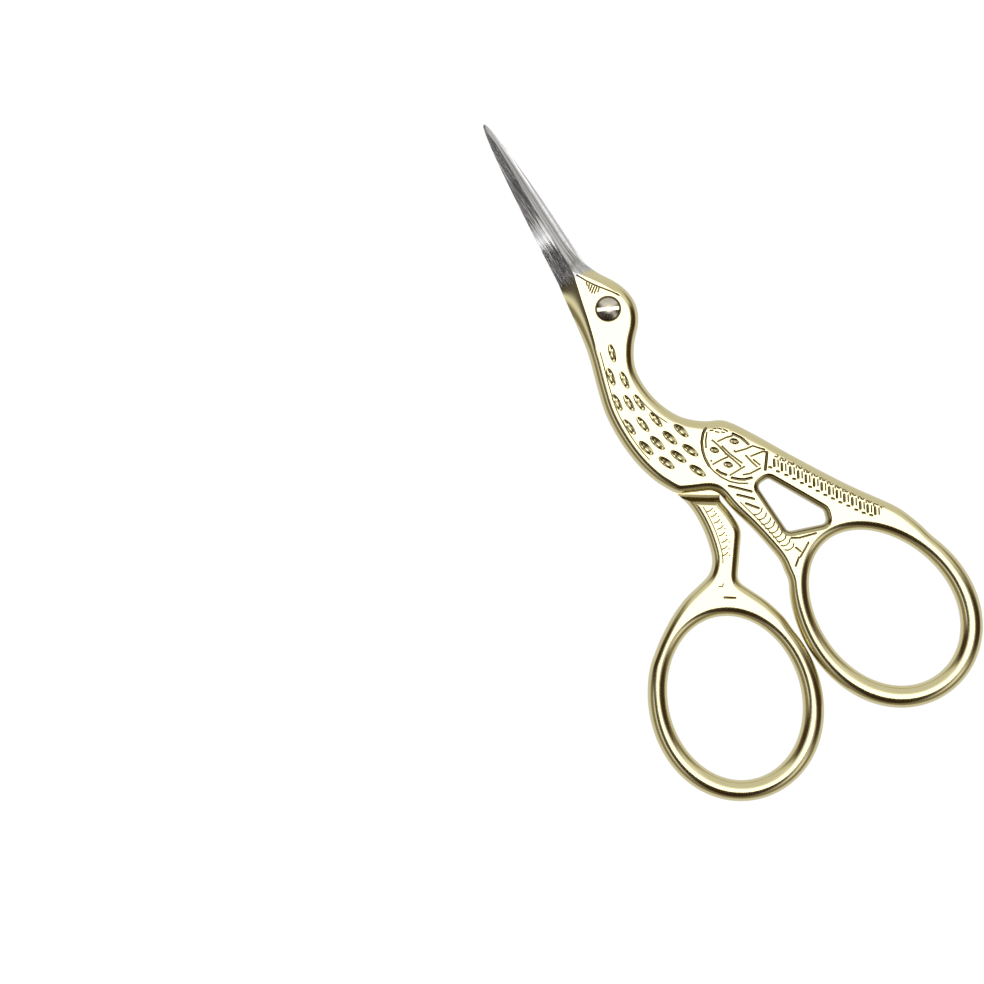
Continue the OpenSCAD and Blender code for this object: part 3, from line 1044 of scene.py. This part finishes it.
def gold_plated_steel():
    """Pale champagne gold plating over polished, nickelled steel. The plating stops short of the
    blades in a mottled edge, and the blades are bare steel, ground lengthwise."""
    material, tree = new_material("champagne_gold_plate_over_ground_steel")
    place = add(tree, "ShaderNodeTexCoord").outputs["Object"]
    along = add(tree, "ShaderNodeSeparateXYZ", {"Vector": place})
    mottle = add(tree, "ShaderNodeTexNoise", {"Vector": place, "Scale": 1100.0, "Detail": 3.0})
    height = add(tree, "ShaderNodeMath", {0: mottle.outputs["Fac"], 1: 0.0022}, operation="MULTIPLY")
    edge = add(tree, "ShaderNodeMath", {0: along.outputs["Y"], 1: height.outputs[0]}, operation="ADD")
    bare = add(tree, "ShaderNodeMapRange", {
        "Value": edge.outputs[0], "From Min": 0.0071, "From Max": 0.0085,
    }, interpolation_type="SMOOTHSTEP")
    # Cloudy tone of the plating, in patches about 3 mm across
    cloud = add(tree, "ShaderNodeTexNoise", {"Vector": place, "Scale": 320.0, "Detail": 4.0})
    gold = add(tree, "ShaderNodeMix", {
        "Factor": cloud.outputs["Fac"], "A": linear("#D9CE9D"), "B": linear("#E0D7AA"),
    }, data_type="RGBA")
    # Grinding lines, stretched along the blade, from 0.4 mm apart down to hairlines
    stretch = add(tree, "ShaderNodeMapping", {"Vector": place, "Scale": (2600.0, 60.0, 2600.0)})
    grind = add(tree, "ShaderNodeTexNoise", {"Vector": stretch.outputs[0], "Scale": 1.0, "Detail": 5.0})
    streak = add(tree, "ShaderNodeMapRange", {
        "Value": grind.outputs["Fac"], "From Min": 0.35, "From Max": 0.65,
    })
    steel = add(tree, "ShaderNodeMix", {
        "Factor": streak.outputs[0], "A": linear("#B0AFAE"), "B": linear("#D6D5D3"),
    }, data_type="RGBA")
    # The same lines stand out as ridges and furrows, tens of micrometres high so that they show
    ground = add(tree, "ShaderNodeMath", {0: streak.outputs[0], 1: bare.outputs[0]},
                 operation="MULTIPLY")
    colour = add(tree, "ShaderNodeMix", {
        "Factor": bare.outputs[0], "A": gold.outputs["Result"], "B": steel.outputs["Result"],
    }, data_type="RGBA")
    gold_rough = add(tree, "ShaderNodeMapRange", {
        "Value": cloud.outputs["Fac"], "To Min": 0.13, "To Max": 0.2,
    })
    steel_rough = add(tree, "ShaderNodeMapRange", {
        "Value": streak.outputs[0], "To Min": 0.22, "To Max": 0.1,
    })
    rough = add(tree, "ShaderNodeMix", {
        "Factor": bare.outputs[0], "A": gold_rough.outputs[0], "B": steel_rough.outputs[0],
    }, data_type="FLOAT")
    # Painted shade: dark brown mixed into the engraving, the rear half's shoulder and the wall of the
    # tail's opening, strongest in the deep marks
    painted_shade = add(tree, "ShaderNodeAttribute", attribute_name="painted_shade")
    amount = add(tree, "ShaderNodeMath", {0: painted_shade.outputs["Fac"], 1: 0.72}, operation="MULTIPLY")
    colour = add(tree, "ShaderNodeMix", {
        "Factor": amount.outputs[0], "A": colour.outputs["Result"], "B": linear("#5A4526"),
    }, data_type="RGBA")
    # Painted shade and old oil in the gap round the screw's head, 0.2 mm wide
    colour = oil_and_painted_shade(tree, colour.outputs["Result"], 2.04, 2.11)
    # Long, shallow waves of hand polishing, about 5 mm apart
    wave = add(tree, "ShaderNodeTexNoise", {"Vector": place, "Scale": 200.0, "Detail": 1.0})
    bump = add(tree, "ShaderNodeBump", {
        "Strength": 0.25, "Distance": 0.00003, "Height": wave.outputs["Fac"],
    })
    bump = add(tree, "ShaderNodeBump", {
        "Strength": 0.5, "Distance": 0.00004, "Height": ground.outputs[0], "Normal": bump.outputs[0],
    })
    shader = add(tree, "ShaderNodeBsdfPrincipled", {
        "Base Color": colour, "Metallic": 1.0,
        "Roughness": rough.outputs["Result"], "Normal": bump.outputs[0],
    })
    add(tree, "ShaderNodeOutputMaterial", {"Surface": shader.outputs[0]})
    return material


def turned_screw_steel():
    """Bright turned and buffed steel, cooler and smoother than the blades."""
    material, tree = new_material("buffed_turned_steel")
    place = add(tree, "ShaderNodeTexCoord").outputs["Object"]
    # Rings left by turning, 0.15 mm apart
    rings = add(tree, "ShaderNodeTexWave", {
        "Vector": place, "Scale": 2100.0, "Distortion": 1.5, "Detail": 2.0,
    }, wave_type="RINGS", rings_direction="Z")
    rough = add(tree, "ShaderNodeMapRange", {
        "Value": rings.outputs["Fac"], "To Min": 0.14, "To Max": 0.24,
    })
    tone = add(tree, "ShaderNodeMix", {
        "Factor": rings.outputs["Fac"], "A": linear("#C2BCA8"), "B": linear("#D0CBB8"),
    }, data_type="RGBA")
    # Painted shade and old oil darken the rim of the head, beside the gap round it
    shader = add(tree, "ShaderNodeBsdfPrincipled", {
        "Base Color": oil_and_painted_shade(tree, tone.outputs["Result"], 1.78, 1.66),
        "Metallic": 1.0, "Roughness": rough.outputs[0],
    })
    add(tree, "ShaderNodeOutputMaterial", {"Surface": shader.outputs[0]})
    return material


def finish_with(piece, material):
    """The whole piece has this one finish."""
    piece.data.materials.clear()
    piece.data.materials.append(material)
    for face in piece.data.polygons:
        face.material_index = 0


plate = gold_plated_steel()
finish_with(front, plate)
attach(front, "front_half")
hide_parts("front_half")
finish_with(rear, plate)
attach(rear, "rear_half")
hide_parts("rear_half")
finish_with(screw, turned_screw_steel())
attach(screw, "rear_half")
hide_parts("pivot_screw")


# Floor, light and camera

# The photo's upward and rightward directions in the plane of the plate
UP = Vector((0.5484, 0.8362, 0.0))
RIGHT = Vector((0.8362, -0.5484, 0.0))
# Middle of the photo, half the width that it shows, and the camera's distance
VIEW_CENTRE = (-31.07, -14.08, 3.0)
VIEW_HALF_W = 77.45
CAMERA_DISTANCE = 750
# Side of the floor, and how far it lies below the scissors, in metres
FLOOR_SIDE = 6
FLOOR_DROP = 0.00005
# How much of the floor's white is its own, and how bright that is to a mirror and to the eye
GLOW_SHARE = 0.93
GLOW_IN_METAL = 0.83
GLOW_TO_EYE = 1.07


def direction(tilt, towards):
    """Unit vector tilted from straight up towards a direction in the plane."""
    t = math.radians(tilt)
    return tuple(Vector((0, 0, math.cos(t))) + towards.normalized() * math.sin(t))


def pale_floor():
    """Sheet of white paper, bright enough to be plain white and still hold a faint shadow."""
    bpy.ops.object.select_all(action="DESELECT")
    bpy.ops.mesh.primitive_plane_add(size=FLOOR_SIDE)
    floor = bpy.context.object
    floor.name = "pale_floor"
    floor.data.transform(Matrix.Translation((0, 0, -FLOOR_DROP)))
    material, tree = new_material("matt_white_paper")
    rays = add(tree, "ShaderNodeLightPath")
    seen = add(tree, "ShaderNodeMath", {
        0: rays.outputs["Is Camera Ray"], 1: rays.outputs["Is Glossy Ray"],
    }, operation="MAXIMUM")
    share = add(tree, "ShaderNodeMath", {0: seen.outputs[0], 1: GLOW_SHARE}, operation="MULTIPLY")
    paper = add(tree, "ShaderNodeBsdfDiffuse", {"Color": linear("#F4F4F2")})
    # The paper is white to the eye, and a shade darker where the metal mirrors it
    level = add(tree, "ShaderNodeMath", {
        0: rays.outputs["Is Camera Ray"], 1: GLOW_TO_EYE - GLOW_IN_METAL, 2: GLOW_IN_METAL,
    }, operation="MULTIPLY_ADD")
    glow = add(tree, "ShaderNodeEmission", {"Color": (1, 1, 1, 1), "Strength": level.outputs[0]})
    both = add(tree, "ShaderNodeMixShader", {
        0: share.outputs[0], 1: paper.outputs[0], 2: glow.outputs[0],
    })
    add(tree, "ShaderNodeOutputMaterial", {"Surface": both.outputs[0]})
    floor.data.materials.append(material)


def soft_studio():
    """White room with a softbox overhead and dark cards round it."""
    world = bpy.data.worlds.new("soft_studio")
    world.use_nodes = True
    tree = world.node_tree
    tree.nodes.clear()
    look = add(tree, "ShaderNodeTexCoord").outputs["Generated"]

    def zone(centre, outer, inner):
        """1 within `inner` degrees of a direction, fading to 0 at `outer` degrees."""
        side = add(tree, "ShaderNodeVectorMath", {0: look, 1: centre}, operation="DOT_PRODUCT")
        return add(tree, "ShaderNodeMapRange", {
            "Value": side.outputs["Value"], "From Min": math.cos(math.radians(outer)),
            "From Max": math.cos(math.radians(inner)),
        }, interpolation_type="SMOOTHSTEP").outputs[0]

    def card(heading, out, long, wide, soft=0.4):
        """1 on a card that hangs at a heading, `out` from overhead, faded at its border."""
        at = heading.normalized() * out
        placed = add(tree, "ShaderNodeMapping", {
            "Vector": look, "Location": (at.x, at.y, math.sqrt(1 - out**2)),
            "Rotation": (0.0, 0.0, math.atan2(at.y, at.x)), "Scale": (long, wide, 1.1),
        }, vector_type="TEXTURE")
        faded = add(tree, "ShaderNodeTexGradient", {"Vector": placed.outputs[0]},
                    gradient_type="SPHERICAL")
        return add(tree, "ShaderNodeMapRange", {
            "Value": faded.outputs["Fac"], "From Min": 0.0, "From Max": soft,
        }, interpolation_type="SMOOTHSTEP").outputs[0]

    overhead = (0.0, 0.0, 1.0)
    level = (0.58, 0.58, 0.57, 1)
    for mask, colour in (
        # Dim walls near the horizon, a bright ceiling, and a wall behind the photo's top
        (zone(overhead, 102, 80), (0.29, 0.255, 0.19, 1)),
        (zone(overhead, 58, 44), (1.05, 1.05, 1.06, 1)),
        (zone(direction(65, UP), 50, 36), (0.78, 0.78, 0.77, 1)),
        # Dark cards at the photo's foot, right, left and lower left, which draw the dark bands
        (card(-UP - RIGHT * 0.08, 0.5, 0.58, 0.5), (0.036, 0.02, 0.008, 1)),
        (card(RIGHT, 0.72, 0.5, 0.42), (0.055, 0.03, 0.013, 1)),
        (card(UP * 0.28 - RIGHT, 0.72, 0.5, 0.32), (0.06, 0.035, 0.016, 1)),
        (card(-UP * 0.55 - RIGHT * 0.84, 0.42, 0.25, 0.34), (0.06, 0.052, 0.05, 1)),
        # The softbox, which the flat faces mirror
        (zone(direction(3, RIGHT + UP * 0.35), 10.5, 7), (2.75, 2.72, 2.82, 1)),
    ):
        level = add(tree, "ShaderNodeMix", {"Factor": mask, "A": level, "B": colour},
                    data_type="RGBA").outputs["Result"]
    rays = add(tree, "ShaderNodeLightPath")
    seen = add(tree, "ShaderNodeMix", {
        "Factor": rays.outputs["Is Camera Ray"], "A": level, "B": (1, 1, 1, 1),
    }, data_type="RGBA")
    light = add(tree, "ShaderNodeBackground", {"Color": seen.outputs["Result"], "Strength": 1.0})
    add(tree, "ShaderNodeOutputWorld", {"Surface": light.outputs[0]})
    bpy.context.scene.world = world


def photo_camera():
    """Looks straight down on the scissors, turned so that the blades point to the upper left."""
    data = bpy.data.cameras.new("photo_camera")
    camera = bpy.data.objects.new("photo_camera", data)
    bpy.context.scene.collection.objects.link(camera)
    back = Vector((0, 0, 1))
    turn = Matrix((RIGHT, UP, back)).transposed()
    place = (Vector(VIEW_CENTRE) + back * CAMERA_DISTANCE) * MM
    camera.matrix_world = Matrix.Translation(place) @ turn.to_4x4()
    data.sensor_fit = "HORIZONTAL"
    data.angle = 2 * math.atan(VIEW_HALF_W / CAMERA_DISTANCE)
    data.clip_start = 0.01
    bpy.context.scene.camera = camera


pale_floor()
soft_studio()
photo_camera()
bpy.context.scene.view_settings.view_transform = "Standard"
